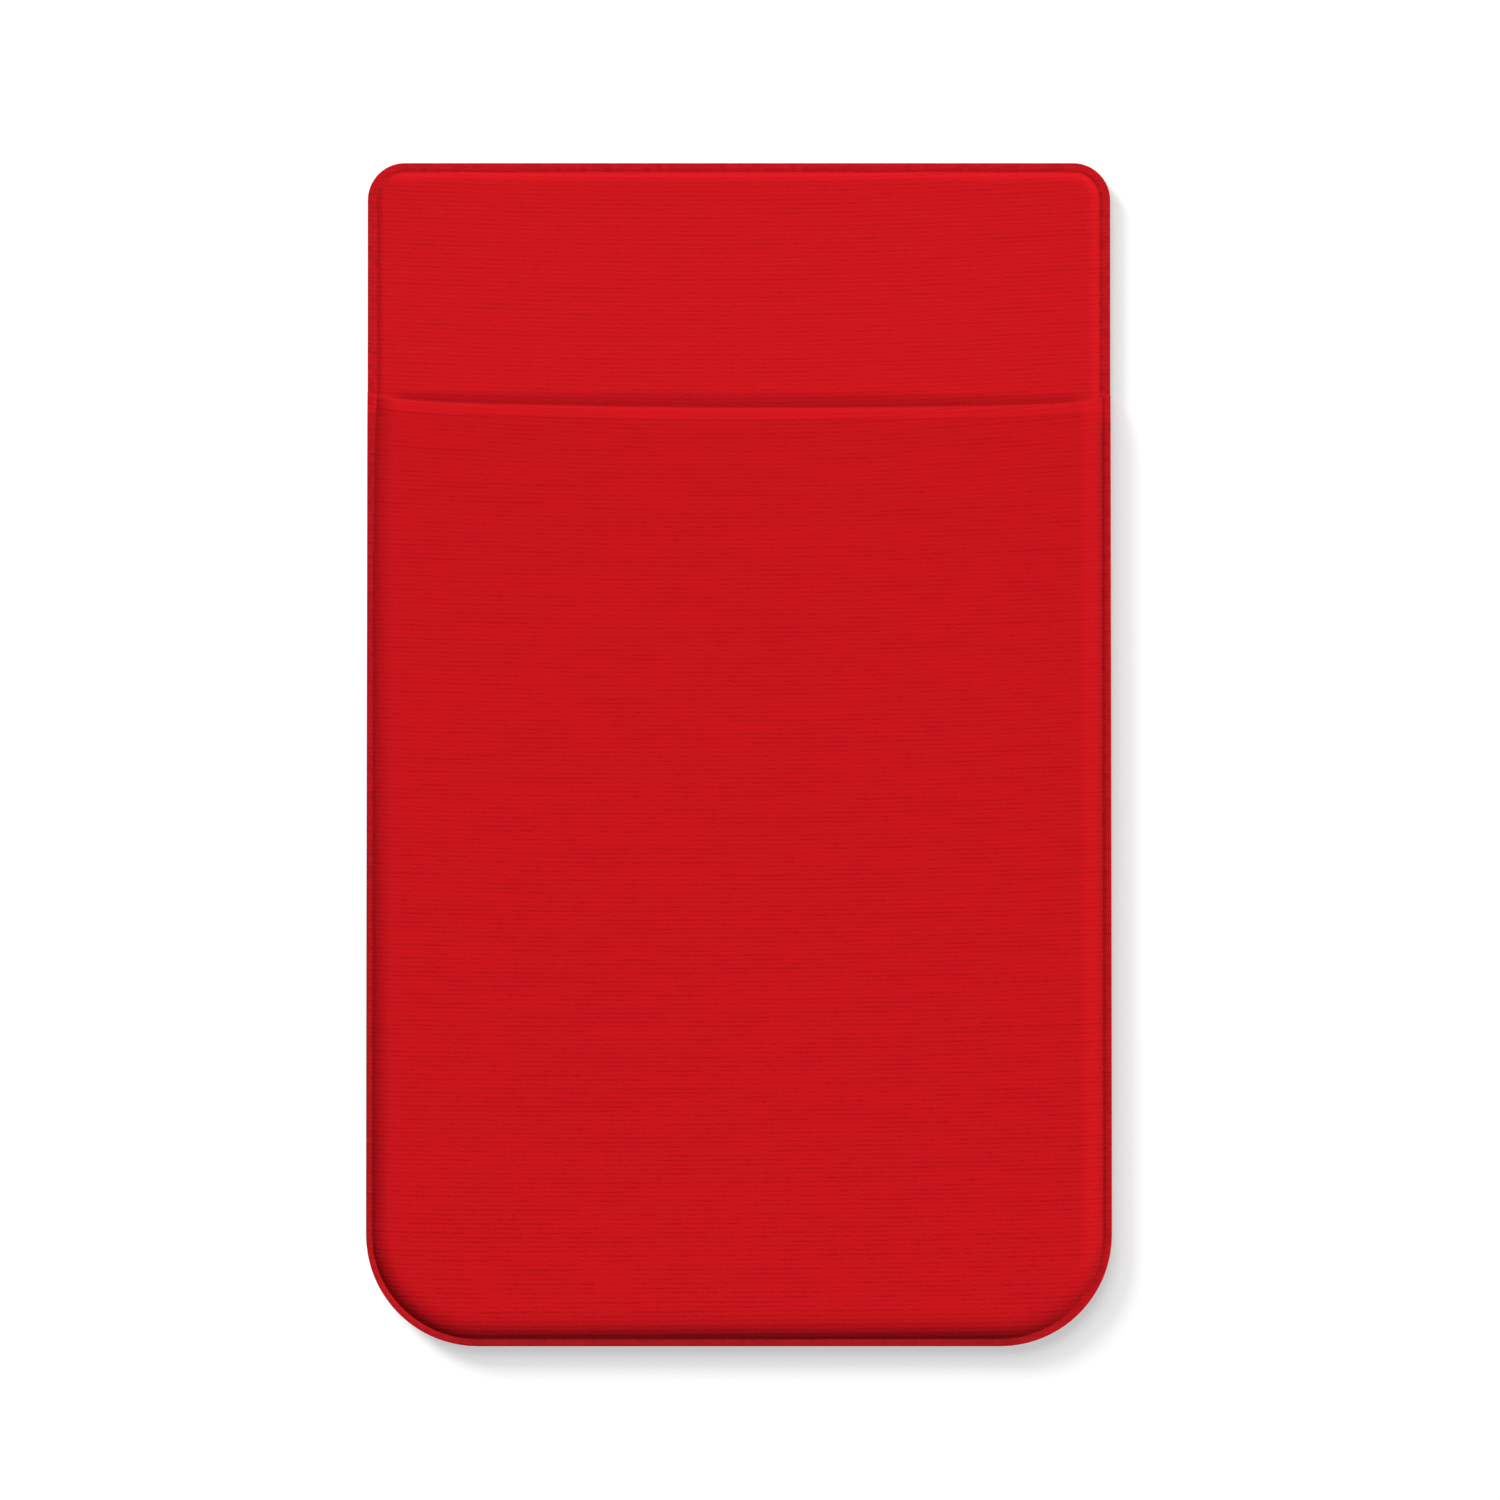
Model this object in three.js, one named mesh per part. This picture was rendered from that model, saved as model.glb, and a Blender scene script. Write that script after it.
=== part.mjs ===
// A stick-on card pocket of stretch knit for the back of a phone, lying flat on its back.
// Sizes are in millimetres. +Z points up out of the front, +X across the width, and +Y along the
// length, towards the pocket's mouth. The origin is the middle of the liner's underside.

import * as THREE from 'three';

// Outline that every layer of cloth is cut to
const width = 60;
const length = 95.2;
const topCornerRadius = 3;
const bottomCornerRadius = 9;

// Mouth of the pocket: a fold that sags in the middle and turns up where it is held at the sides
const mouthBelowTop = 19.6;
const mouthSag = 0.5;
const mouthEndLift = 0.5;
const mouthEndSharpness = 12;

// Thickness of each layer, from the bottom up
const linerThickness = 0.12;
const adhesiveThickness = 0.2;
const backRimThickness = 0.5;
const backPadThickness = 0.7;
const frontRimThickness = 0.45;
const frontThickness = 0.55;
const emptyPocketGap = 0.3;

// Edge where the layers are pressed and bonded together: a rim, a groove, then a soft slope
const rimWidth = 0.6;
const rimRounding = 0.15;
const grooveWidth = 0.2;
const grooveDepth = 0.1;
const topSlope = 1;
const sideSlope = 1.5;
const bottomSlope = 2.25;
const padTopRadius = 1.4;
const padBottomRadius = 6.8;

// Adhesive on the back, and the liner that covers it until it is used
const adhesiveMargin = 3;
const adhesiveTopRadius = 2;
const linerOverhang = 0.5;

// Heights of the layers, worked out from their thicknesses
const adhesiveUnderside = linerThickness;
const backUnderside = adhesiveUnderside + adhesiveThickness;
const backRimTop = backUnderside + backRimThickness;
const backPadTop = backUnderside + backPadThickness;
const frontRimTop = backRimTop + frontRimThickness;
const frontUnderside = backPadTop + emptyPocketGap;
const frontTop = frontUnderside + frontThickness;
const foldRadius = frontThickness / 2;

// Fineness of the curves
const cornerDivisions = 8;
const slopeSteps = 6;
const foldSteps = 8;
const mouthSteps = 28;

const redBackKnit = new THREE.MeshStandardMaterial({ color: 0xcc171e, roughness: 0.9, metalness: 0 });
const redPocketKnit = new THREE.MeshStandardMaterial({ color: 0xc6161c, roughness: 0.9, metalness: 0 });
const clearAdhesive = new THREE.MeshStandardMaterial({ color: 0xd9d8d2, roughness: 0.4, metalness: 0 });
const whiteLiner = new THREE.MeshStandardMaterial({ color: 0xf0eee6, roughness: 0.5, metalness: 0 });

// Adds one corner of an outline that lies inside the cut one: a quarter turn, anticlockwise.
function addCorner(path, turn, radius, insetX, insetY) {
  const towardsX = turn === 0 || turn === 3 ? 1 : -1;
  const towardsY = turn < 2 ? 1 : -1;
  const centreX = towardsX * (width / 2 - insetX - radius);
  const centreY = towardsY * (length / 2 - insetY - radius);
  const start = turn * Math.PI / 2;
  path.absarc(centreX, centreY, radius, start, start + Math.PI / 2);
}

// An outline inside the cut one, anticlockwise from above, with its own inset at each edge.
function outlineInset({ side, top, bottom, topRadius, bottomRadius }) {
  const path = new THREE.Path();
  addCorner(path, 2, bottomRadius, side, bottom);
  addCorner(path, 3, bottomRadius, side, bottom);
  addCorner(path, 0, topRadius, side, top);
  addCorner(path, 1, topRadius, side, top);
  return path.getPoints(cornerDivisions);
}

// Insets and corner radii at a step of the pressed edge: across the rim, then down its slope.
function insetAt({ rim, slope }) {
  return {
    side: rim + slope * sideSlope,
    top: rim + slope * topSlope,
    bottom: rim + slope * bottomSlope,
    topRadius: THREE.MathUtils.lerp(topCornerRadius - rim, padTopRadius, slope),
    bottomRadius: THREE.MathUtils.lerp(bottomCornerRadius - rim, padBottomRadius, slope),
  };
}

// The furthest point of the fold at the mouth, for a place across the width.
function mouthY(x) {
  const share = Math.abs(x) / (width / 2);
  const rise = mouthSag * share ** 2 + mouthEndLift * share ** mouthEndSharpness;
  return length / 2 - mouthBelowTop + rise;
}

// Line down one side of the pocket front, round the bottom and up the other side.
function frontLineInset({ side, bottom, bottomRadius }) {
  const x = width / 2 - side;
  const end = mouthY(x) - foldRadius;
  const path = new THREE.Path();
  path.moveTo(-x, end);
  path.lineTo(-x, -length / 2 + bottom + bottomRadius);
  addCorner(path, 2, bottomRadius, side, bottom);
  addCorner(path, 3, bottomRadius, side, bottom);
  path.lineTo(x, end);
  return path.getPoints(cornerDivisions);
}

// Steps across the pressed edge, from the cut edge inwards: how far in, and how high.
function pressedEdge(rimTop, flatTop, rounding, groove) {
  const steps = [
    { rim: 0, slope: 0, z: rimTop - rounding },
    { rim: rimRounding, slope: 0, z: rimTop },
    { rim: rimWidth - grooveWidth, slope: 0, z: rimTop },
    { rim: rimWidth, slope: 0, z: rimTop - groove },
  ];
  for (let i = 1; i <= slopeSteps; i++) {
    const slope = i / slopeSteps;
    const rise = (flatTop - rimTop + groove) * Math.sin(slope * Math.PI / 2);
    steps.push({ rim: rimWidth, slope, z: rimTop - groove + rise });
  }
  return steps;
}

function atHeight(points, z) {
  return points.map((point) => new THREE.Vector3(point.x, point.y, z));
}

// Triangles between two lines with as many points, facing the side that sees them anticlockwise.
function strip(near, far) {
  const triangles = [];
  for (let i = 0; i + 1 < near.length; i++) {
    triangles.push(near[i], near[i + 1], far[i + 1]);
    triangles.push(near[i], far[i + 1], far[i]);
  }
  return triangles;
}

// Triangles that fill a flat outline drawn anticlockwise from above, facing up or down.
function fill(outline, up) {
  const flat = outline.map((point) => new THREE.Vector2(point.x, point.y));
  const order = up ? [0, 1, 2] : [2, 1, 0];
  return THREE.ShapeUtils.triangulateShape(flat, []).flatMap(
    (triangle) => order.map((corner) => outline[triangle[corner]]),
  );
}

function body(name, triangles, material) {
  const geometry = new THREE.BufferGeometry().setFromPoints(triangles);
  geometry.computeVertexNormals();
  const mesh = new THREE.Mesh(geometry, material);
  mesh.name = name;
  return mesh;
}

// Triangles of a closed body through rings of points, from its underside up and then inwards.
function throughRings(rings) {
  const triangles = fill(rings[0], false);
  for (let i = 0; i + 1 < rings.length; i++) {
    triangles.push(...strip([...rings[i], rings[i][0]], [...rings[i + 1], rings[i + 1][0]]));
  }
  triangles.push(...fill(rings.at(-1), true));
  return triangles;
}

// A flat sheet that stays the same margin inside the cut outline, on a given height.
function flatSheet(margin, topRadius, underside, thickness) {
  const bottomRadius = bottomCornerRadius - margin;
  const outline = outlineInset({ side: margin, top: margin, bottom: margin, topRadius, bottomRadius });
  return throughRings([atHeight(outline, underside), atHeight(outline, underside + thickness)]);
}

function releaseLiner() {
  const margin = adhesiveMargin - linerOverhang;
  const triangles = flatSheet(margin, adhesiveTopRadius + linerOverhang, 0, linerThickness);
  return body('release_liner', triangles, whiteLiner);
}

function adhesiveSheet() {
  const triangles = flatSheet(adhesiveMargin, adhesiveTopRadius, adhesiveUnderside, adhesiveThickness);
  return body('adhesive_sheet', triangles, clearAdhesive);
}

// Cloth faced foam: flat underneath, pressed thin at the rim and full thickness inside it.
function backPanel() {
  const cut = outlineInset(insetAt({ rim: 0, slope: 0 }));
  const steps = pressedEdge(backRimTop, backPadTop, rimRounding, grooveDepth);
  const rings = steps.map((step) => atHeight(outlineInset(insetAt(step)), step.z));
  return body('back_panel', throughRings([atHeight(cut, backUnderside), ...rings]), redBackKnit);
}

// Points round the fold at one place across the mouth, from the top face over to the underside.
function foldColumn(x, top, under) {
  const column = [];
  for (let i = 0; i <= foldSteps; i++) {
    const angle = i / foldSteps * Math.PI;
    const y = mouthY(x) - foldRadius + foldRadius * Math.sin(angle);
    const z = (top + under) / 2 + (top - under) / 2 * Math.cos(angle);
    column.push(new THREE.Vector3(x, y, z));
  }
  return column;
}

// Knit folded double at the mouth. Its rim lies on the back's rim, and the rest clears the back.
function pocketFront() {
  const topSteps = pressedEdge(frontRimTop, frontTop, rimRounding, grooveDepth);
  const underSteps = pressedEdge(backRimTop, frontUnderside, 0, 0);
  const lines = topSteps.map((step) => frontLineInset(insetAt(step)));
  const tops = lines.map((line, i) => atHeight(line, topSteps[i].z));
  const unders = lines.map((line, i) => atHeight(line, underSteps[i].z));

  const triangles = strip(unders[0], tops[0]);
  for (let i = 0; i + 1 < lines.length; i++) {
    triangles.push(...strip(tops[i], tops[i + 1]));
    triangles.push(...strip(unders[i + 1], unders[i]));
  }

  const left = lines.map((line, i) => foldColumn(line[0].x, topSteps[i].z, underSteps[i].z));
  const right = lines.map((line, i) => foldColumn(line.at(-1).x, topSteps[i].z, underSteps[i].z));
  const flatHalf = lines.at(-1).at(-1).x;
  const middle = [];
  for (let i = 1; i < mouthSteps; i++) {
    middle.push(foldColumn(flatHalf * (2 * i / mouthSteps - 1), frontTop, frontUnderside));
  }
  const columns = [...left, ...middle, ...right.reverse()];
  for (let i = 0; i + 1 < columns.length; i++) {
    triangles.push(...strip(columns[i + 1], columns[i]));
  }
  const leftEnd = columns[0];
  const rightEnd = columns.at(-1);
  for (let i = 1; i < foldSteps; i++) {
    triangles.push(leftEnd[0], leftEnd[i], leftEnd[i + 1]);
    triangles.push(rightEnd[0], rightEnd[i + 1], rightEnd[i]);
  }

  const mouthFromRight = middle.toReversed();
  const topFace = [...tops.at(-1), ...mouthFromRight.map((column) => column[0])];
  const underFace = [...unders.at(-1), ...mouthFromRight.map((column) => column.at(-1))];
  triangles.push(...fill(topFace, true), ...fill(underFace, false));
  return body('pocket_front', triangles, redPocketKnit);
}

const cardPocket = new THREE.Group();
cardPocket.add(releaseLiner(), adhesiveSheet(), backPanel(), pocketFront());

export default cardPocket;
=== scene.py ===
"""Looks of a red stretch knit card pocket that sticks to the back of a phone, lying on its back."""
import math

import bpy
import numpy as np
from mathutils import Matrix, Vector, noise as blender_noise


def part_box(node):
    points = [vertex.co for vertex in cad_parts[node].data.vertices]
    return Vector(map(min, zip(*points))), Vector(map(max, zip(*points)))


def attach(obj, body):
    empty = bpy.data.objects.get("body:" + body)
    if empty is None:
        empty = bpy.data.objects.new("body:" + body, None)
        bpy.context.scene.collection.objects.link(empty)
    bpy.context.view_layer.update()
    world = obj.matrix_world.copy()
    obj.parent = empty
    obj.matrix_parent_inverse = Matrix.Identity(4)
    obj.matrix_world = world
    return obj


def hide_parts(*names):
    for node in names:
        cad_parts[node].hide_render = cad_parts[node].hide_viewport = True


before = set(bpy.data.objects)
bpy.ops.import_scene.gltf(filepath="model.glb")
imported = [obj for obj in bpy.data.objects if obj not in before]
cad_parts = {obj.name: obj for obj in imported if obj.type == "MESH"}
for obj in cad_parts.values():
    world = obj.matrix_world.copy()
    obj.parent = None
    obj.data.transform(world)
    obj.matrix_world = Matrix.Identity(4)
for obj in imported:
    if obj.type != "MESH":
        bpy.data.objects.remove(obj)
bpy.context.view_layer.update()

# Release liner
# A sheet of white paper with a silicone coat, die cut a little larger than the adhesive it covers.
# It is smooth with a low sheen, and a faint cloudiness of the paper's fibres shows through the coat.
LINER_WHITE = "F0EEE6"
LINER_CLOUD = "E4E1D6"
LINER_CLOUD_SIZE = 0.004
LINER_FIBRE_SIZE = 0.0004
LINER_FIBRE_HEIGHT = 0.000004


def linear(hex_colour):
    """An sRGB hex colour as linear red, green, blue and alpha."""
    values = [int(hex_colour[i:i + 2], 16) / 255 for i in (0, 2, 4)]
    return [v / 12.92 if v <= 0.04045 else ((v + 0.055) / 1.055) ** 2.4 for v in values] + [1.0]


def add(material, kind, inputs=None, **settings):
    """Adds one node with its settings. An input is a plain value, or the output that is linked to it."""
    node = material.node_tree.nodes.new(kind)
    for name, value in settings.items():
        setattr(node, name, value)
    for key, value in (inputs or {}).items():
        if isinstance(value, bpy.types.NodeSocket):
            material.node_tree.links.new(value, node.inputs[key])
        else:
            node.inputs[key].default_value = value
    return node


def empty_material(name):
    """A node material with nothing in it."""
    material = bpy.data.materials.new(name)
    material.use_nodes = True
    material.node_tree.nodes.clear()
    return material


def coat(piece, material):
    """Gives every face of a piece one material."""
    piece.data.materials.clear()
    piece.data.materials.append(material)


def siliconised_paper():
    material = empty_material("siliconised_paper")
    place = add(material, "ShaderNodeTexCoord").outputs["Object"]
    cloud = add(material, "ShaderNodeTexNoise", {
        "Vector": place, "Scale": 1 / LINER_CLOUD_SIZE, "Detail": 4.0})
    fibre = add(material, "ShaderNodeTexNoise", {
        "Vector": place, "Scale": 1 / LINER_FIBRE_SIZE, "Detail": 3.0})
    colour = add(material, "ShaderNodeMix", {
        0: cloud.outputs["Fac"], 6: linear(LINER_WHITE), 7: linear(LINER_CLOUD)}, data_type="RGBA")
    bump = add(material, "ShaderNodeBump", {
        "Height": fibre.outputs["Fac"], "Distance": LINER_FIBRE_HEIGHT, "Strength": 1.0})
    surface = add(material, "ShaderNodeBsdfPrincipled", {
        "Base Color": colour.outputs[2], "Normal": bump.outputs["Normal"], "Roughness": 0.42, "IOR": 1.43})
    add(material, "ShaderNodeOutputMaterial", {"Surface": surface.outputs["BSDF"]})
    return material


coat(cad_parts["release_liner"], siliconised_paper())

# Adhesive sheet
# A clear acrylic adhesive on a thin film, bonded to the whole back inside a margin. It looks pale
# grey and a little wet, with fine ripples from the knit that it is pressed to.
ADHESIVE_GREY = "D9D8D2"
ADHESIVE_RIPPLE_SIZE = 0.0009
ADHESIVE_RIPPLE_HEIGHT = 0.00001


def acrylic_adhesive():
    material = empty_material("acrylic_adhesive")
    place = add(material, "ShaderNodeTexCoord").outputs["Object"]
    ripple = add(material, "ShaderNodeTexNoise", {
        "Vector": place, "Scale": 1 / ADHESIVE_RIPPLE_SIZE, "Detail": 2.0})
    bump = add(material, "ShaderNodeBump", {
        "Height": ripple.outputs["Fac"], "Distance": ADHESIVE_RIPPLE_HEIGHT, "Strength": 1.0})
    surface = add(material, "ShaderNodeBsdfPrincipled", {
        "Base Color": linear(ADHESIVE_GREY), "Normal": bump.outputs["Normal"],
        "Roughness": 0.22, "IOR": 1.47})
    add(material, "ShaderNodeOutputMaterial", {"Surface": surface.outputs["BSDF"]})
    return material


coat(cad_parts["adhesive_sheet"], acrylic_adhesive())

# Back panel
# Red stretch knit laminated to thin foam. All its layers are pressed and bonded in a narrow rim
# round the cut edge, so inside a fine groove the panel rises as a soft pad. It dips at the mouth,
# where the fold of the pocket presses on it.
# The rim is painted darker for its pressed knit, and the groove and the dip darker still as painted shade.
MM = 0.001
BACK_LOW, BACK_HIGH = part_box("back_panel")
HALF_WIDTH = BACK_HIGH.x / MM
HALF_LENGTH = BACK_HIGH.y / MM
BACK_UNDERSIDE = BACK_LOW.z / MM
TOP_CORNER_RADIUS = 3.0
BOTTOM_CORNER_RADIUS = 9.0
TOP_NARROWING = 0.12
BACK_RIM_TOP = 0.82
BACK_PAD_TOP = 1.0
BACK_PAD_FALL = {"left": 0.1, "right": 0.0, "top": 0.0, "bottom": 0.0}
BACK_PAD_FALL_REACH = 8.0
BACK_GROOVE_DEPTH = 0.055
BACK_GROOVE_AT = {"left": 0.74, "right": 0.86, "top": 0.73, "bottom": 0.6}
BACK_SLOPE_WIDTH = {"left": 0.5, "right": 1.1, "top": 1.0, "bottom": 1.6}
BACK_SLOPE_POWER = {"left": 1.4, "right": 2.4, "top": 3.0, "bottom": 2.0}
# Rim shade is the pressed knit's darker tone; crease shade is painted shade along the groove.
BACK_RIM_SHADE = {"left": 0.12, "right": 0.16, "top": 0.12, "bottom": 0.2}
BACK_CREASE_SHADE = {"left": 0.12, "right": 0.05, "top": 0.08, "bottom": 0.2}
BACK_CREASE_OUT = {"left": 0.38, "right": 0.3, "top": 0.25, "bottom": 0.3}
BACK_CREASE_IN = {"left": 0.22, "right": 0.2, "top": 0.12, "bottom": 0.3}
RIM_CORNER_FADE = 0.5
CREASE_CORNER_FADE = 0.3
GROOVE_FLANK = 0.35
EDGE_ROUNDING = 0.03
PRESS_OVERLAP = 0.05
PRESS_FADE = 0.25
MOUTH_MIDDLE = HALF_LENGTH - 19.68
MOUTH_SAG = 0.5
MOUTH_TILT = 0.0038
MOUTH_END_LIFT = 0.6
MOUTH_END_SHARPNESS = 12
MOUTH_BEND_REACH = 9.0
DIP_DEPTH = 0.26
DIP_ABOVE_FOLD = 1.35
DIP_UNDER_FOLD = 2.5
DIP_END_FADE = 3.2
DIP_NARROWS = 0.5
DIP_FADES = 0.4
DIP_POWER = 1.5
DIP_SHADE = 0.16
KNIT_BACK_RED = "CC161D"
# The dull dark red that the painted shade, and the darker tone of the pressed rim, mix towards.
KNIT_PRESSED_AND_SHADE_DARK = "20161A"


def deselect_all():
    """Leaves nothing selected, because an operator acts on all that is."""
    for obj in bpy.context.selected_objects:
        obj.select_set(False)


# The grid of the cloth has fine lines along the cut edges and at the fold, and wide ones between.
FINE_EDGE = 1.1
FINE_STEP = 0.06
STEP_GROWTH = 1.16
WIDE_STEP = 0.9
HIDDEN_STEP = 1.1
FOLD_STEP = 0.12
FOLD_REACH = 2.4
CREASE_ANGLE = math.radians(50)


def edge_lines(fine_to, fine_step, growth, last):
    """Distances from a cut edge for lines of cloth: evenly fine over the rim, then wider and wider."""
    lines = list(np.arange(0, fine_to, fine_step))
    step = fine_step
    while lines[-1] + step < last - step / 2:
        lines.append(lines[-1] + step)
        step *= growth
    return np.array(lines + [last])


def even_lines(start, end, step):
    """Places from start up to but without end, about a step apart."""
    count = max(1, round(abs(end - start) / step))
    return np.linspace(start, end, count, endpoint=False)


EDGE = edge_lines(FINE_EDGE, FINE_STEP, STEP_GROWTH, BOTTOM_CORNER_RADIUS)
ACROSS = np.concatenate([
    -HALF_WIDTH + EDGE[:-1],
    even_lines(-HALF_WIDTH + EDGE[-1], HALF_WIDTH - EDGE[-1], WIDE_STEP),
    (HALF_WIDTH - EDGE)[::-1]])


def laid_cloth(name, across, along):
    """A grid primitive with one line of vertices for each place given. Returns it and the places."""
    deselect_all()
    bpy.ops.mesh.primitive_grid_add(x_subdivisions=len(across) - 1, y_subdivisions=len(along) - 1, size=1)
    cloth = bpy.context.object
    cloth.name = cloth.data.name = name
    x, y = np.meshgrid(across, along)
    return cloth, x.ravel(), y.ravel()


def smooth_step(share):
    share = np.clip(share, 0, 1)
    return share * share * (3 - 2 * share)


def cut_round(x, y):
    """Moves places of a square cornered sheet so that its corners become round and its edge lines
    stay parallel. Also gives each place's distance from the cut edge, and its share of end edge
    against side edge, from 0 beside a side to 1 beside an end."""
    radius = np.where(y > 0, TOP_CORNER_RADIUS, BOTTOM_CORNER_RADIUS)
    out_x = np.abs(x) - (HALF_WIDTH - radius)
    out_y = np.abs(y) - (HALF_LENGTH - radius)
    corner = (out_x > 0) & (out_y > 0)
    reach = np.maximum(out_x, out_y)
    share = np.where(out_y > out_x, 1.0, 0.0)
    safe = np.where(reach > 0, reach, 1)
    near = np.where(out_x >= out_y, out_y / safe / 2, 1 - out_x / safe / 2)
    share = np.where(corner, near, share)
    angle = share * math.pi / 2
    round_x = HALF_WIDTH - radius + reach * np.cos(angle)
    round_y = HALF_LENGTH - radius + reach * np.sin(angle)
    new_x = np.where(corner, np.copysign(round_x, x), x)
    new_y = np.where(corner, np.copysign(round_y, y), y)
    edge = np.minimum(HALF_WIDTH - np.abs(x), HALF_LENGTH - np.abs(y))
    return new_x, new_y, edge, smooth_step(share)


def by_edge(sizes, x, y, share):
    """A size that differs between the edges, blended round the corners."""
    side = np.where(x > 0, sizes["right"], sizes["left"])
    end = np.where(y > 0, sizes["top"], sizes["bottom"])
    return side * (1 - share) + end * share


def pressed_height(edge, rim_top, flat_top, depth, groove_at, slope_width, power):
    """Height of cloth pressed flat round its edge: rim, groove, then a slope that eases into the flat."""
    cut = EDGE_ROUNDING * np.clip(1 - edge / EDGE_ROUNDING, 0, 1) ** 2
    flank = np.clip((edge - groove_at + GROOVE_FLANK) / GROOVE_FLANK, 0, 1)
    rise = 1 - (1 - np.clip((edge - groove_at) / slope_width, 0, 1)) ** power
    return rim_top - cut - depth * flank ** 2 + (flat_top - rim_top + depth) * rise


def press_and_shade_marks(x, y, share, edge, groove_at, rim_shade, crease_shade, crease_out, crease_in):
    """How hard the cloth was pressed, from 1 on the rim to 0 inside it, and how dark it is painted: on the
    rim partly for the denser pressed knit and partly as painted shadow of the raised cloth beside it, and
    along the groove as painted shade.
    """
    pressed = 1 - smooth_step((edge - groove_at + PRESS_OVERLAP) / PRESS_FADE)
    reach = np.where(edge < groove_at, by_edge(crease_out, x, y, share), by_edge(crease_in, x, y, share))
    crease = np.exp(-((edge - groove_at) / reach) ** 2)
    cornering = 4 * share * (1 - share)
    # Painted: the rim is darker partly for its pressed knit and partly as painted shadow, and the crease
    # along the groove is painted shade.
    shade = pressed * by_edge(rim_shade, x, y, share) * (1 - RIM_CORNER_FADE * cornering)
    return pressed, shade + crease * by_edge(crease_shade, x, y, share) * (1 - CREASE_CORNER_FADE * cornering)


def soft_waves(x, y, length_across, length_along):
    """Smooth noise of about -1 to 1, for the faint waves of cloth that isn't quite flat."""
    places = zip(x / length_across, y / length_along)
    return np.array([blender_noise.noise((u, v, 0.0)) for u, v in places])


def mouth_rise(x):
    """How much higher up the length the fold lies at a place across it than in its middle."""
    share = np.abs(x) / HALF_WIDTH
    return MOUTH_SAG * share ** 2 + MOUTH_END_LIFT * share ** MOUTH_END_SHARPNESS - MOUTH_TILT * x


def narrowed(x, y):
    """The blank is a hair narrower at its top end."""
    return x * (1 - TOP_NARROWING / HALF_WIDTH * smooth_step((y + HALF_LENGTH) / (2 * HALF_LENGTH)))


BOTTOM_STRETCH = 0.8
BOTTOM_STRETCH_REACH = 8.0
SMILE_BASE = 0.5
SMILE_BASE_REACH = 40.0
SMILE_AT_MOUTH = 1.1
SMILE_MOUTH_REACH = 6.0
SMILE_BAND = 0.75
SMILE_PULL = 0.4
SMILE_PULL_REACH = 15.0
SMILE_PULL_SHARPNESS = 6
ROW_TILT = 0.007


def knit_places(x, y, on_band):
    """Where each place of the finished cloth lies in the knit, in mm. The rows bow down in the
    middle, most of all below the mouth and at the bottom corners, where the cloth was stretched."""
    share = np.abs(x) / HALF_WIDTH
    if on_band:
        return x, y - ROW_TILT * x - SMILE_BAND * share ** 2
    below_mouth = np.maximum(MOUTH_MIDDLE - y, 0)
    above_bottom = y + HALF_LENGTH
    bow = SMILE_BASE * np.clip(above_bottom / SMILE_BASE_REACH, 0, 1)
    bow = bow + SMILE_AT_MOUTH * np.exp(-below_mouth / SMILE_MOUTH_REACH)
    pull = SMILE_PULL * np.exp(-above_bottom / SMILE_PULL_REACH)
    stretch = BOTTOM_STRETCH * np.exp(-above_bottom / BOTTOM_STRETCH_REACH)
    return x, y + stretch - ROW_TILT * x - bow * share ** 2 - pull * share ** SMILE_PULL_SHARPNESS


def set_places(cloth, x, y, z):
    """Moves every vertex of a cloth to its place, given in millimetres."""
    cloth.data.vertices.foreach_set("co", (np.stack([x, y, z], axis=1) * MM).astype(np.float32).ravel())
    cloth.data.update()


def set_knit_map(cloth, u, v, marks):
    """Stores each vertex's place in the knit as a UV map, and its press marks and painted shade as
    attributes.
    """
    mesh = cloth.data
    corners = np.zeros(len(mesh.loops), np.int32)
    mesh.loops.foreach_get("vertex_index", corners)
    layer = mesh.uv_layers[0]
    layer.name = "knit_mm"
    layer.data.foreach_set("uv", np.stack([u[corners], v[corners]], axis=1).astype(np.float32).ravel())
    for mark_name, values in zip(("pressed", "shade", "rim"), marks):
        attribute = mesh.attributes.new(mark_name, "FLOAT", "POINT")
        attribute.data.foreach_set("value", values.astype(np.float32))


# The knit, in mm and in shares of its relief. A jump is the step through the noise from one row
# to the next, long enough that neighbouring rows look unlike each other.
KNIT_ROW = 0.355
KNIT_WALE = 0.514
KNIT_LEAN = math.tan(math.radians(2.5))
KNIT_RELIEF = 0.0000026
KNIT_STITCH_SHARE = 0.9
KNIT_WALE_SHARE = 0.3
KNIT_HARMONIC_SHARE = -0.22
KNIT_UNEVEN_SHARE = 1.2
KNIT_GRAIN_SHARE = 1.5
KNIT_GRAIN_SIZE = 0.18
KNIT_PRESSED_GRAIN = 7.0
KNIT_PRESSED_CALM = 0.25
KNIT_RIM_SPECKLE = 0.24
# Painted shade in the knit: darker in the valleys between rows and lighter on the loops, and darker in some
# gaps and dashes along the row valleys.
KNIT_VALLEY_SHADE = 0.02
KNIT_LEG_SHADE = 0.022
KNIT_WANDER = 0.22
KNIT_WANDER_LENGTH = 2.5
KNIT_WANDER_WIDTH = 0.8
KNIT_DRAWN_LENGTH = 14.0
KNIT_DRAWN_JUMP = 7.31
KNIT_DRAWN_CONTRAST = 0.5
KNIT_DRAWN_SHADE = 0.03
KNIT_DASH_LENGTH = 7.0
KNIT_DASH_JUMP = 3.77
KNIT_DASH_FROM = 0.46
KNIT_DASH_TO = 0.64
KNIT_DASH_SHADE = 0.085
KNIT_GAP_SHADE = 0.13
KNIT_GAP_POWER = 3.0
KNIT_VALLEY_POWER = 3.0
KNIT_SPECULAR = 0.02


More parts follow.
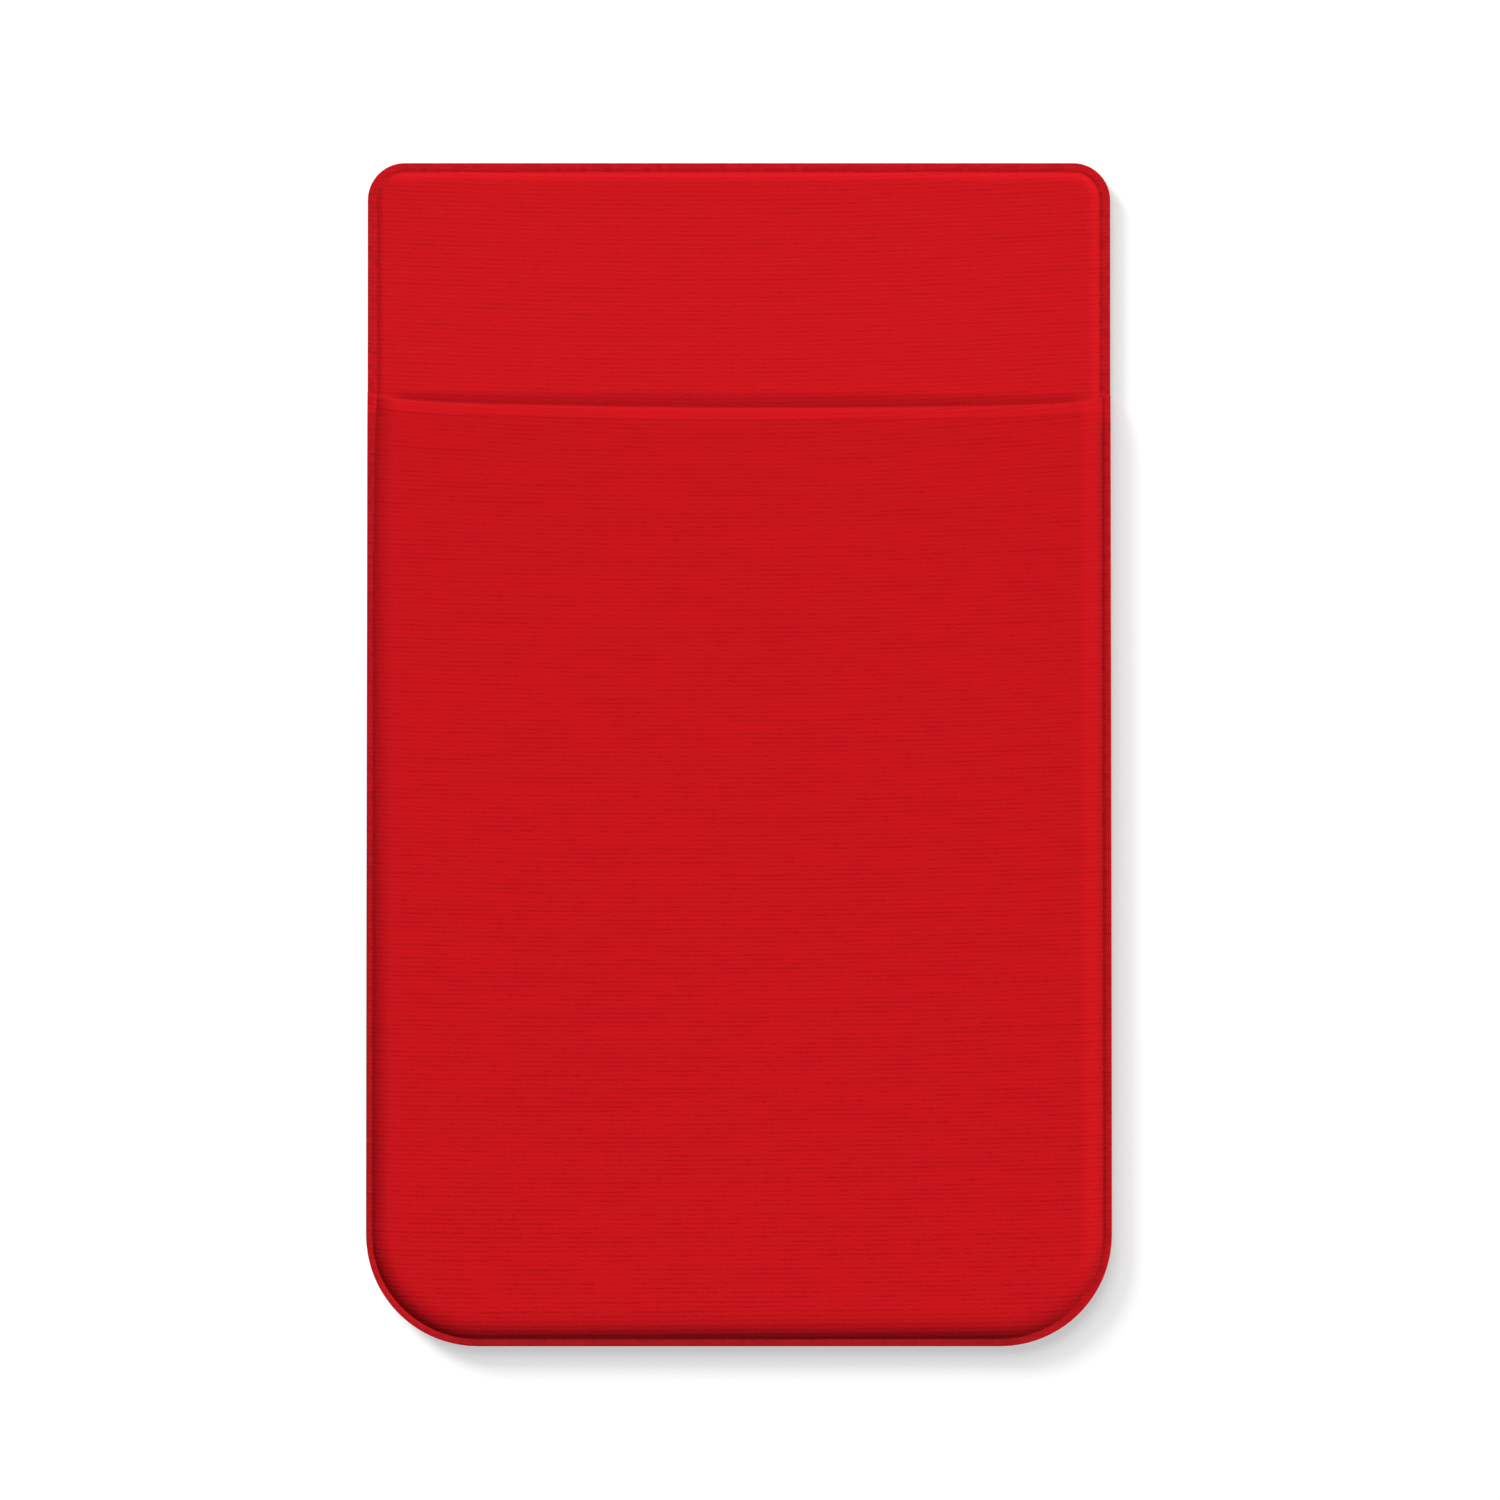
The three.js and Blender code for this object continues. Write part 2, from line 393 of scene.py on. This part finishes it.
def stretch_knit(name, hex_colour, relief_at_top, relief_at_bottom):
    """Matte warp knit of polyamide and elastane. Its rows of loops catch the light, some are drawn tighter
    along their way, and the gaps between rows and loops are darkened here and there with painted shade. Where
    it was pressed it is flatter and speckled on the rim, and the shade attribute paints it darker: on the rim
    partly for the pressed knit, in the grooves, the dip and at the fold as painted shade."""
    material = empty_material(name)

    def maths(operation, *values):
        return add(material, "ShaderNodeMath", dict(enumerate(values)), operation=operation).outputs[0]

    def flat_place(x, y):
        return add(material, "ShaderNodeCombineXYZ", {"X": x, "Y": y}).outputs[0]

    def noise(x, y, detail=2.0):
        return add(material, "ShaderNodeTexNoise", {
            "Vector": flat_place(x, y), "Scale": 1.0, "Detail": detail}, noise_dimensions="2D").outputs["Fac"]

    uv = add(material, "ShaderNodeUVMap", uv_map="knit_mm").outputs["UV"]
    split = add(material, "ShaderNodeSeparateXYZ", {"Vector": uv}).outputs
    across, along = split["X"], split["Y"]
    pressed = add(material, "ShaderNodeAttribute", attribute_name="pressed").outputs["Fac"]
    dark = add(material, "ShaderNodeAttribute", attribute_name="shade").outputs["Fac"]
    rim = add(material, "ShaderNodeAttribute", attribute_name="rim").outputs["Fac"]

    wander_along = maths("DIVIDE", along, KNIT_WANDER_WIDTH)
    wander = noise(maths("DIVIDE", across, KNIT_WANDER_LENGTH), wander_along, detail=1.0)
    row = maths("DIVIDE", along, KNIT_ROW)
    row = maths("MULTIPLY_ADD", maths("SUBTRACT", wander, 0.5), KNIT_WANDER, row)
    wale = maths("DIVIDE", maths("MULTIPLY_ADD", along, KNIT_LEAN, across), KNIT_WALE)
    row_turn = maths("MULTIPLY", row, 2 * math.pi)
    wale_turn = maths("MULTIPLY", wale, 2 * math.pi)
    row_wave = maths("COSINE", row_turn)
    fine_wave = maths("COSINE", maths("MULTIPLY", row_turn, 2.0))
    wale_wave = maths("COSINE", wale_turn)
    leg_wave = maths("COSINE", maths("MULTIPLY", wale_turn, 2.0))

    row_number = maths("ROUND", row)
    valley_number = maths("FLOOR", row)
    stitch = add(material, "ShaderNodeTexWhiteNoise", {
        "Vector": flat_place(maths("ROUND", wale), row_number)}, noise_dimensions="2D").outputs["Value"]
    drawn_row = maths("MULTIPLY", row_number, KNIT_DRAWN_JUMP)
    drawn = noise(maths("DIVIDE", across, KNIT_DRAWN_LENGTH), drawn_row)
    least_tight = 1 - KNIT_DRAWN_CONTRAST - KNIT_UNEVEN_SHARE / 2
    tight = maths("MULTIPLY_ADD", drawn, 2 * KNIT_DRAWN_CONTRAST, least_tight)
    tight = maths("MULTIPLY_ADD", stitch, KNIT_UNEVEN_SHARE, tight)
    dash_row = maths("MULTIPLY", valley_number, KNIT_DASH_JUMP)
    dashes = noise(maths("DIVIDE", across, KNIT_DASH_LENGTH), dash_row)
    gap = add(material, "ShaderNodeTexWhiteNoise", {
        "Vector": flat_place(maths("FLOOR", wale), valley_number)}, noise_dimensions="2D").outputs["Value"]
    grain = noise(maths("DIVIDE", across, KNIT_GRAIN_SIZE), maths("DIVIDE", along, KNIT_GRAIN_SIZE))

    loops = maths("MULTIPLY", row_wave, maths("MULTIPLY_ADD", wale_wave, KNIT_STITCH_SHARE, tight))
    loops = maths("MULTIPLY_ADD", fine_wave, KNIT_HARMONIC_SHARE, loops)
    loops = maths("MULTIPLY_ADD", wale_wave, KNIT_WALE_SHARE, loops)
    stretched = add(material, "ShaderNodeMapRange", {
        "Value": along, "From Min": HALF_LENGTH, "From Max": -HALF_LENGTH,
        "To Min": relief_at_top, "To Max": relief_at_bottom}).outputs[0]
    loose = maths("MULTIPLY", maths("MULTIPLY_ADD", pressed, -KNIT_PRESSED_CALM, 1.0), stretched)
    grain_share = maths("MULTIPLY_ADD", pressed, KNIT_PRESSED_GRAIN, KNIT_GRAIN_SHARE)
    height = maths("MULTIPLY_ADD", grain, grain_share, maths("MULTIPLY", loops, loose))

    # Painted shade in the row valleys, deeper in random gaps and dashes; the dashes are partly the yarn's own
    # uneven tone.
    dash = add(material, "ShaderNodeMapRange", {
        "Value": dashes, "From Min": KNIT_DASH_FROM, "From Max": KNIT_DASH_TO},
        interpolation_type="SMOOTHSTEP").outputs[0]
    valley = maths("POWER", maths("MULTIPLY_ADD", row_wave, -0.5, 0.5), KNIT_VALLEY_POWER)
    open_gap = maths("MULTIPLY", maths("POWER", gap, KNIT_GAP_POWER), KNIT_GAP_SHADE)
    gaps = maths("MULTIPLY_ADD", dash, KNIT_DASH_SHADE, open_gap)
    dash_shade = maths("MULTIPLY", maths("MULTIPLY", gaps, valley), -1.0)
    shade = maths("MULTIPLY_ADD", loops, KNIT_VALLEY_SHADE, dash_shade)
    shade = maths("MULTIPLY_ADD", maths("MULTIPLY", row_wave, leg_wave), KNIT_LEG_SHADE, shade)
    shade = maths("MULTIPLY_ADD", maths("SUBTRACT", drawn, 0.5), -KNIT_DRAWN_SHADE * 2, shade)
    shade = maths("MULTIPLY_ADD", shade, loose, 1.0)
    speckle = maths("MULTIPLY", maths("SUBTRACT", gap, 0.5), KNIT_RIM_SPECKLE)
    shade = maths("MULTIPLY_ADD", speckle, rim, shade)
    yarn = add(material, "ShaderNodeVectorMath", {
        0: linear(hex_colour)[:3], "Scale": shade}, operation="SCALE").outputs[0]
    # Mixes towards the dull dark red by the shade attribute: painted shade and shadow, and on the rim partly
    # the pressed knit's own darker tone.
    colour = add(material, "ShaderNodeMix", {
        0: dark, 6: yarn, 7: linear(KNIT_PRESSED_AND_SHADE_DARK)}, data_type="RGBA").outputs[2]
    bump = add(material, "ShaderNodeBump", {"Height": height, "Distance": KNIT_RELIEF, "Strength": 1.0})
    surface = add(material, "ShaderNodeBsdfPrincipled", {
        "Base Color": colour, "Normal": bump.outputs["Normal"], "Roughness": 0.85,
        "Specular IOR Level": KNIT_SPECULAR})
    add(material, "ShaderNodeOutputMaterial", {"Surface": surface.outputs["BSDF"]})
    return material


def fold_lines():
    """Distances along the length from the fold, for the lines of cloth that follow it."""
    above = even_lines(0, FOLD_REACH, FOLD_STEP)
    return np.concatenate([-above[:0:-1], above])


BACK_ALONG = np.concatenate([
    -HALF_LENGTH + EDGE[:-1],
    even_lines(-HALF_LENGTH + EDGE[-1], MOUTH_MIDDLE - FOLD_REACH, HIDDEN_STEP),
    MOUTH_MIDDLE + fold_lines(),
    even_lines(MOUTH_MIDDLE + FOLD_REACH, HALF_LENGTH - EDGE[-1], WIDE_STEP),
    (HALF_LENGTH - EDGE)[::-1]])


def follow_mouth(x, y):
    """Bends the straight lines of cloth near the mouth into its curve."""
    nearness = smooth_step(1 - np.abs(y - MOUTH_MIDDLE) / MOUTH_BEND_REACH)
    return y + mouth_rise(x) * nearness


def make_back_panel():
    cloth, x, y = laid_cloth("back_panel_cloth", ACROSS, BACK_ALONG)
    from_fold = y - MOUTH_MIDDLE
    new_x, new_y, edge, share = cut_round(x, y)
    new_y = follow_mouth(new_x, new_y)
    groove_at = by_edge(BACK_GROOVE_AT, x, y, share)
    slope_width = by_edge(BACK_SLOPE_WIDTH, x, y, share)
    power = by_edge(BACK_SLOPE_POWER, x, y, share)
    fall = by_edge(BACK_PAD_FALL, x, y, share) * np.clip(1 - edge / BACK_PAD_FALL_REACH, 0, 1) ** 2
    z = pressed_height(
        edge, BACK_RIM_TOP, BACK_PAD_TOP - fall, BACK_GROOVE_DEPTH, groove_at, slope_width, power)
    dip_reach = DIP_ABOVE_FOLD * (1 - DIP_NARROWS * (x / HALF_WIDTH) ** 2)
    above = np.clip(1 - from_fold / dip_reach, 0, 1) ** DIP_POWER
    under = smooth_step(1 + from_fold / DIP_UNDER_FOLD)
    dip = np.where(from_fold > 0, above, under) * smooth_step((edge - groove_at) / DIP_END_FADE)
    dip = dip * (1 - DIP_FADES * (x / HALF_WIDTH) ** 2)
    set_places(cloth, narrowed(new_x, new_y), new_y, z - DIP_DEPTH * dip)
    u, v = knit_places(new_x, new_y, True)
    pressed, shade = press_and_shade_marks(
        x, y, share, edge, groove_at, BACK_RIM_SHADE, BACK_CREASE_SHADE, BACK_CREASE_OUT, BACK_CREASE_IN)
    rim = pressed
    pressed = np.maximum(pressed, np.sqrt(dip))
    # Painted shade under the fold of the pocket darkens the dip.
    shade = shade + DIP_SHADE * np.sqrt(dip)

    bpy.ops.object.mode_set(mode="EDIT")
    bpy.ops.mesh.select_all(action="SELECT")
    bpy.ops.mesh.region_to_loop()
    bpy.ops.mesh.extrude_region_move()
    bpy.ops.object.mode_set(mode="OBJECT")
    mesh = cloth.data
    wall_foot = [vertex for vertex in mesh.vertices if vertex.select]
    for vertex in wall_foot:
        vertex.co.z = BACK_UNDERSIDE * MM
    bpy.ops.object.mode_set(mode="EDIT")
    bpy.ops.mesh.edge_face_add()
    bpy.ops.object.mode_set(mode="OBJECT")
    foot = np.array([vertex.co[:] for vertex in mesh.vertices][len(u):]) / MM
    foot_u, foot_v = knit_places(foot[:, 0], foot[:, 1], True)
    wall = np.ones(len(foot))
    marks = [np.concatenate(both) for both in ((pressed, wall), (shade, 0 * wall), (rim, wall))]
    set_knit_map(cloth, np.concatenate([u, foot_u]), np.concatenate([v, foot_v]), marks)
    deselect_all()
    cloth.select_set(True)
    bpy.ops.object.shade_smooth_by_angle(angle=CREASE_ANGLE)
    return cloth


back_panel = make_back_panel()
coat(back_panel, stretch_knit(
    "knit_foam_laminate", KNIT_BACK_RED, relief_at_top=0.95, relief_at_bottom=0.95))
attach(back_panel, "root")
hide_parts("back_panel")

# Pocket front
# One piece of the same knit, cut twice as long as the pocket, folded double with the fold at the
# mouth and pressed onto the rim of the back panel at both sides and the bottom. No thread holds
# it. The stretched cloth stands up as a soft pillow inside the groove of its rim.
# Its rim is darker partly for the pressed knit and partly as painted shadow of the pillow, most along the
# bottom, and its groove, the nose of the fold and two lines across the lip carry painted shade.
FRONT_RIM_TOP = 1.25
FRONT_AT_MOUTH = 1.52
FRONT_AT_BOTTOM = 1.91
FRONT_GROOVE_DEPTH = 0.11
FRONT_GROOVE_AT = {"left": 0.46, "right": 0.7, "top": 0.6, "bottom": 0.56}
FRONT_SLOPE_WIDTH = {"left": 1.6, "right": 1.7, "top": 1.5, "bottom": 3.0}
FRONT_SLOPE_POWER = {"left": 2.1, "right": 1.5, "top": 2.0, "bottom": 3.4}
# Rim shade is partly the pressed knit's darker tone and partly painted shadow of the pillow, most at the
# bottom; crease shade is painted shade along the groove, widest inside the bottom.
FRONT_RIM_SHADE = {"left": 0.15, "right": 0.1, "top": 0.1, "bottom": 0.2}
FRONT_CREASE_SHADE = {"left": 0.22, "right": 0.2, "top": 0.2, "bottom": 0.37}
FRONT_CREASE_OUT = {"left": 0.33, "right": 0.4, "top": 0.3, "bottom": 0.35}
FRONT_CREASE_IN = {"left": 0.3, "right": 0.45, "top": 0.3, "bottom": 0.75}
PLY = 0.21
RIM_SEAM_GAP = 0.005
FRONT_WAVES = 0.028
FRONT_WAVE_LENGTHS = (16.0, 9.0)
FRONT_THICKNESS = 0.46
FRONT_GROOVE_THICKNESS = 0.33
LIP_DROP = 0.23
LIP_LENGTH = 1.05
LIP_POWER = 1.3
LIP_FADE = 0.2
LIP_LINES = (0.58, 1.07)
LIP_LINE_DEPTH = 0.01
LIP_LINE_SIZE = 0.05
# Painted shade in two thin lines across the lip and at the nose of the fold.
LIP_LINE_SHADE = 0.11
NOSE_SHADE = 0.3
NOSE_SIZE = 0.15
CREASE_START = 2.0
RIM_SINKS_AT_MOUTH = 0.2
RIM_SINK_REACH = 2.5
GROOVE_SHIFT_AT_MOUTH = 0.28
GROOVE_SHIFT_REACH = 5.0
# Painted shade where the nose of the fold crosses the rim.
NOSE_RIM_SHADE = 0.14
NOSE_RIM_REACH = 0.6
FOLD_STEPS = 10
LIP_STEP = 0.05
LIP_REACH = 1.3
INNER_NEAR_STEP = 0.4
INNER_STEP = 3.0
FOLD_RADIUS = FRONT_THICKNESS / 2
KNIT_POCKET_RED = "C6141B"

FRONT_ALONG = np.concatenate([
    -HALF_LENGTH + EDGE[:-1],
    even_lines(-HALF_LENGTH + EDGE[-1], MOUTH_MIDDLE - FOLD_REACH, WIDE_STEP),
    even_lines(MOUTH_MIDDLE - FOLD_REACH, MOUTH_MIDDLE - LIP_REACH, FOLD_STEP),
    even_lines(MOUTH_MIDDLE - LIP_REACH, MOUTH_MIDDLE - FOLD_RADIUS, LIP_STEP)])
INNER_ALONG = np.concatenate([
    even_lines(MOUTH_MIDDLE - FOLD_RADIUS, MOUTH_MIDDLE - FOLD_REACH, INNER_NEAR_STEP),
    even_lines(MOUTH_MIDDLE - FOLD_REACH, -HALF_LENGTH + EDGE[-1], INNER_STEP),
    -HALF_LENGTH + EDGE[::-3],
    [-HALF_LENGTH]])


def pocket_front_form(x, y, share, edge, below):
    """Heights of the pocket front's outer face and of the face against the back panel, and its press marks
    and painted shade, for places at a distance from the cut edge and at one below the tip of the fold."""
    down = below / (MOUTH_MIDDLE + HALF_LENGTH)
    lip_line = sum(np.exp(-((below - line) / LIP_LINE_SIZE) ** 2) for line in LIP_LINES)
    flat_top = FRONT_AT_MOUTH + (FRONT_AT_BOTTOM - FRONT_AT_MOUTH) * down ** 2
    flat_top = flat_top - LIP_DROP * np.clip(1 - below / LIP_LENGTH, 0, 1) ** LIP_POWER
    flat_top = flat_top - LIP_LINE_DEPTH * lip_line + FRONT_WAVES * soft_waves(x, y, *FRONT_WAVE_LENGTHS)
    shift = GROOVE_SHIFT_AT_MOUTH * np.exp(-np.clip(below, 0, None) / GROOVE_SHIFT_REACH)
    groove_at = by_edge(FRONT_GROOVE_AT, x, y, share) + shift * np.where(x < 0, 1, 0)
    slope_width = by_edge(FRONT_SLOPE_WIDTH, x, y, share)
    power = by_edge(FRONT_SLOPE_POWER, x, y, share)
    rim_top = FRONT_RIM_TOP - RIM_SINKS_AT_MOUTH * (1 - smooth_step(below / RIM_SINK_REACH))
    top = pressed_height(edge, rim_top, flat_top, FRONT_GROOVE_DEPTH, groove_at, slope_width, power)
    inside = smooth_step((edge - groove_at) / slope_width)
    thickness = FRONT_GROOVE_THICKNESS + (FRONT_THICKNESS - FRONT_GROOVE_THICKNESS) * inside
    seam = BACK_RIM_TOP + RIM_SEAM_GAP
    under = np.where(edge < groove_at, seam, np.maximum(top - thickness, seam))
    pressed, shade = press_and_shade_marks(
        x, y, share, edge, groove_at, FRONT_RIM_SHADE, FRONT_CREASE_SHADE, FRONT_CREASE_OUT, FRONT_CREASE_IN)
    rim = pressed
    pressed = np.maximum(pressed, smooth_step((LIP_LENGTH + LIP_FADE / 2 - below) / LIP_FADE))
    # Painted shade at the nose of the fold, where it crosses the rim and in the two lines across the lip; the
    # painted crease shade fades in below the mouth.
    nose = NOSE_SHADE * np.exp(-(below / NOSE_SIZE) ** 2)
    rim_nose = NOSE_RIM_SHADE * np.exp(-(below / NOSE_RIM_REACH) ** 2)
    shade = shade * smooth_step(below / CREASE_START) + rim_nose * (1 - inside)
    shade = shade + (LIP_LINE_SHADE * lip_line + nose) * inside
    return top, under, (pressed, shade, rim)


def make_pocket_front():
    fold = [MOUTH_MIDDLE - FOLD_RADIUS] * (FOLD_STEPS - 1)
    along = np.concatenate([FRONT_ALONG, [MOUTH_MIDDLE - FOLD_RADIUS], fold, INNER_ALONG])
    cloth, x, y = laid_cloth("pocket_front_cloth", ACROSS, along)
    turn = np.clip(np.arange(len(along)) - len(FRONT_ALONG), 0, FOLD_STEPS) / FOLD_STEPS * math.pi
    turn = np.repeat(turn, len(ACROSS))
    new_x, new_y, edge, share = cut_round(x, y)
    below = MOUTH_MIDDLE - y - FOLD_RADIUS * np.sin(turn)
    top, under, marks = pocket_front_form(x, y, share, edge, below)
    new_y = follow_mouth(new_x, new_y) + FOLD_RADIUS * np.sin(turn)
    z = (top + under) / 2 + (top - under) / 2 * np.cos(turn)
    set_places(cloth, narrowed(new_x, new_y), new_y, z)
    u, v = knit_places(new_x, new_y, False)
    v = np.where(turn > math.pi / 2, 2 * MOUTH_MIDDLE - v, v)
    set_knit_map(cloth, u, v, marks)

    share_of_ply = np.clip((top - under - 2 * RIM_SEAM_GAP) / 2 / PLY, 0, 1)
    group = cloth.vertex_groups.new(name="ply")
    for index, weight in enumerate(share_of_ply):
        group.add([index], float(weight), "REPLACE")
    deselect_all()
    cloth.select_set(True)
    bpy.context.view_layer.objects.active = cloth
    bpy.ops.object.modifier_add(type="SOLIDIFY")
    thicken = cloth.modifiers[0]
    thicken.thickness = PLY * MM
    thicken.offset = -1
    thicken.vertex_group = "ply"
    bpy.ops.object.modifier_apply(modifier=thicken.name)
    bpy.ops.object.shade_smooth_by_angle(angle=CREASE_ANGLE)
    return cloth


pocket_front = make_pocket_front()
coat(pocket_front, stretch_knit(
    "knit_pocket_double", KNIT_POCKET_RED, relief_at_top=0.7, relief_at_bottom=1.25))
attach(pocket_front, "root")
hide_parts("pocket_front")

# Studio
# A white table top, a hair under the holder so that no two faces coincide. One broad lamp from
# the top right lights the holder. Two lamps from the top left, a high and a low one, light only
# the table and throw the holder's soft shadow to the lower right.
FLOOR_SIZE = 3.0
FLOOR_CLEARANCE = 0.00002
FLOOR_GLOW = 0.5
FLOOR_WHITE = 0.55
KEY_DIRECTION = (0.62, 0.95, 1.0)
KEY_STRENGTH = 4.26
KEY_SPREAD = math.radians(20)
HIGH_DIRECTION = (-0.5, 1.15, 1.0)
HIGH_STRENGTH = 2.43
HIGH_SPREAD = math.radians(55)
LOW_DIRECTION = (-2.1, 2.2, 1.0)
LOW_STRENGTH = 5.0
LOW_SPREAD = math.radians(20)
LAMP_DISTANCE = 0.3
SURROUND = 0.12
PICTURE_WIDTH = 0.1208
PICTURE_CENTRE = (0.000886, 0.000354)
PICTURE_PLANE = 0.0006
LENS = 135.0
SENSOR = 36.0


def white_table():
    """White laminate. Part of its white is its own to the camera, so that only the shadow darkens it."""
    material = empty_material("white_laminate")
    path = add(material, "ShaderNodeLightPath").outputs
    seen = add(material, "ShaderNodeMath", {
        0: path["Is Camera Ray"], 1: path["Is Glossy Ray"]}, operation="MAXIMUM")
    seen = add(material, "ShaderNodeMath", {
        0: seen.outputs[0], 1: path["Is Transmission Ray"]}, operation="MAXIMUM")
    glow = add(material, "ShaderNodeMath", {0: seen.outputs[0], 1: FLOOR_GLOW}, operation="MULTIPLY")
    shine = add(material, "ShaderNodeEmission", {"Strength": glow.outputs[0]})
    matte = add(material, "ShaderNodeBsdfDiffuse", {"Color": [FLOOR_WHITE] * 3 + [1.0]})
    both = add(material, "ShaderNodeAddShader", {0: matte.outputs[0], 1: shine.outputs[0]})
    add(material, "ShaderNodeOutputMaterial", {"Surface": both.outputs[0]})
    return material


def make_floor():
    deselect_all()
    bpy.ops.mesh.primitive_plane_add(size=FLOOR_SIZE, location=(0, 0, -FLOOR_CLEARANCE))
    floor = bpy.context.object
    floor.name = "table_top"
    coat(floor, white_table())
    return floor


def sun(name, direction, strength, spread):
    deselect_all()
    bpy.ops.object.light_add(type="SUN", location=[LAMP_DISTANCE * d for d in direction])
    lamp = bpy.context.object
    lamp.name = name
    lamp.rotation_mode = "QUATERNION"
    lamp.rotation_quaternion = lamp.location.to_track_quat("Z", "Y")
    lamp.data.energy = strength
    lamp.data.angle = spread
    return lamp


def lights_only(lamp, obj, state):
    """Keeps a lamp to one object, or off it."""
    group = bpy.data.collections.new(lamp.name + "_receives")
    group.objects.link(obj)
    group.collection_objects[0].light_linking.link_state = state
    lamp.light_linking.receiver_collection = group


def make_world():
    world = bpy.data.worlds.new("pale_room")
    bpy.context.scene.world = world
    world.use_nodes = True
    world.node_tree.nodes.clear()
    path = add(world, "ShaderNodeLightPath").outputs
    strength = add(world, "ShaderNodeMapRange", {
        "Value": path["Is Camera Ray"], "To Min": SURROUND, "To Max": 1.0})
    shine = add(world, "ShaderNodeBackground", {"Color": [1.0] * 4, "Strength": strength.outputs[0]})
    add(world, "ShaderNodeOutputWorld", {"Surface": shine.outputs[0]})


def make_camera():
    distance = PICTURE_WIDTH * LENS / SENSOR
    deselect_all()
    bpy.ops.object.camera_add(location=(*PICTURE_CENTRE, PICTURE_PLANE + distance), rotation=(0, 0, 0))
    camera = bpy.context.object
    camera.data.lens = LENS
    camera.data.sensor_width = SENSOR
    camera.data.clip_start = 0.01
    bpy.context.scene.camera = camera


floor = make_floor()
lights_only(sun("key_lamp", KEY_DIRECTION, KEY_STRENGTH, KEY_SPREAD), floor, "EXCLUDE")
lights_only(sun("high_table_lamp", HIGH_DIRECTION, HIGH_STRENGTH, HIGH_SPREAD), floor, "INCLUDE")
lights_only(sun("low_table_lamp", LOW_DIRECTION, LOW_STRENGTH, LOW_SPREAD), floor, "INCLUDE")
make_world()
make_camera()
bpy.context.scene.view_settings.view_transform = "Standard"
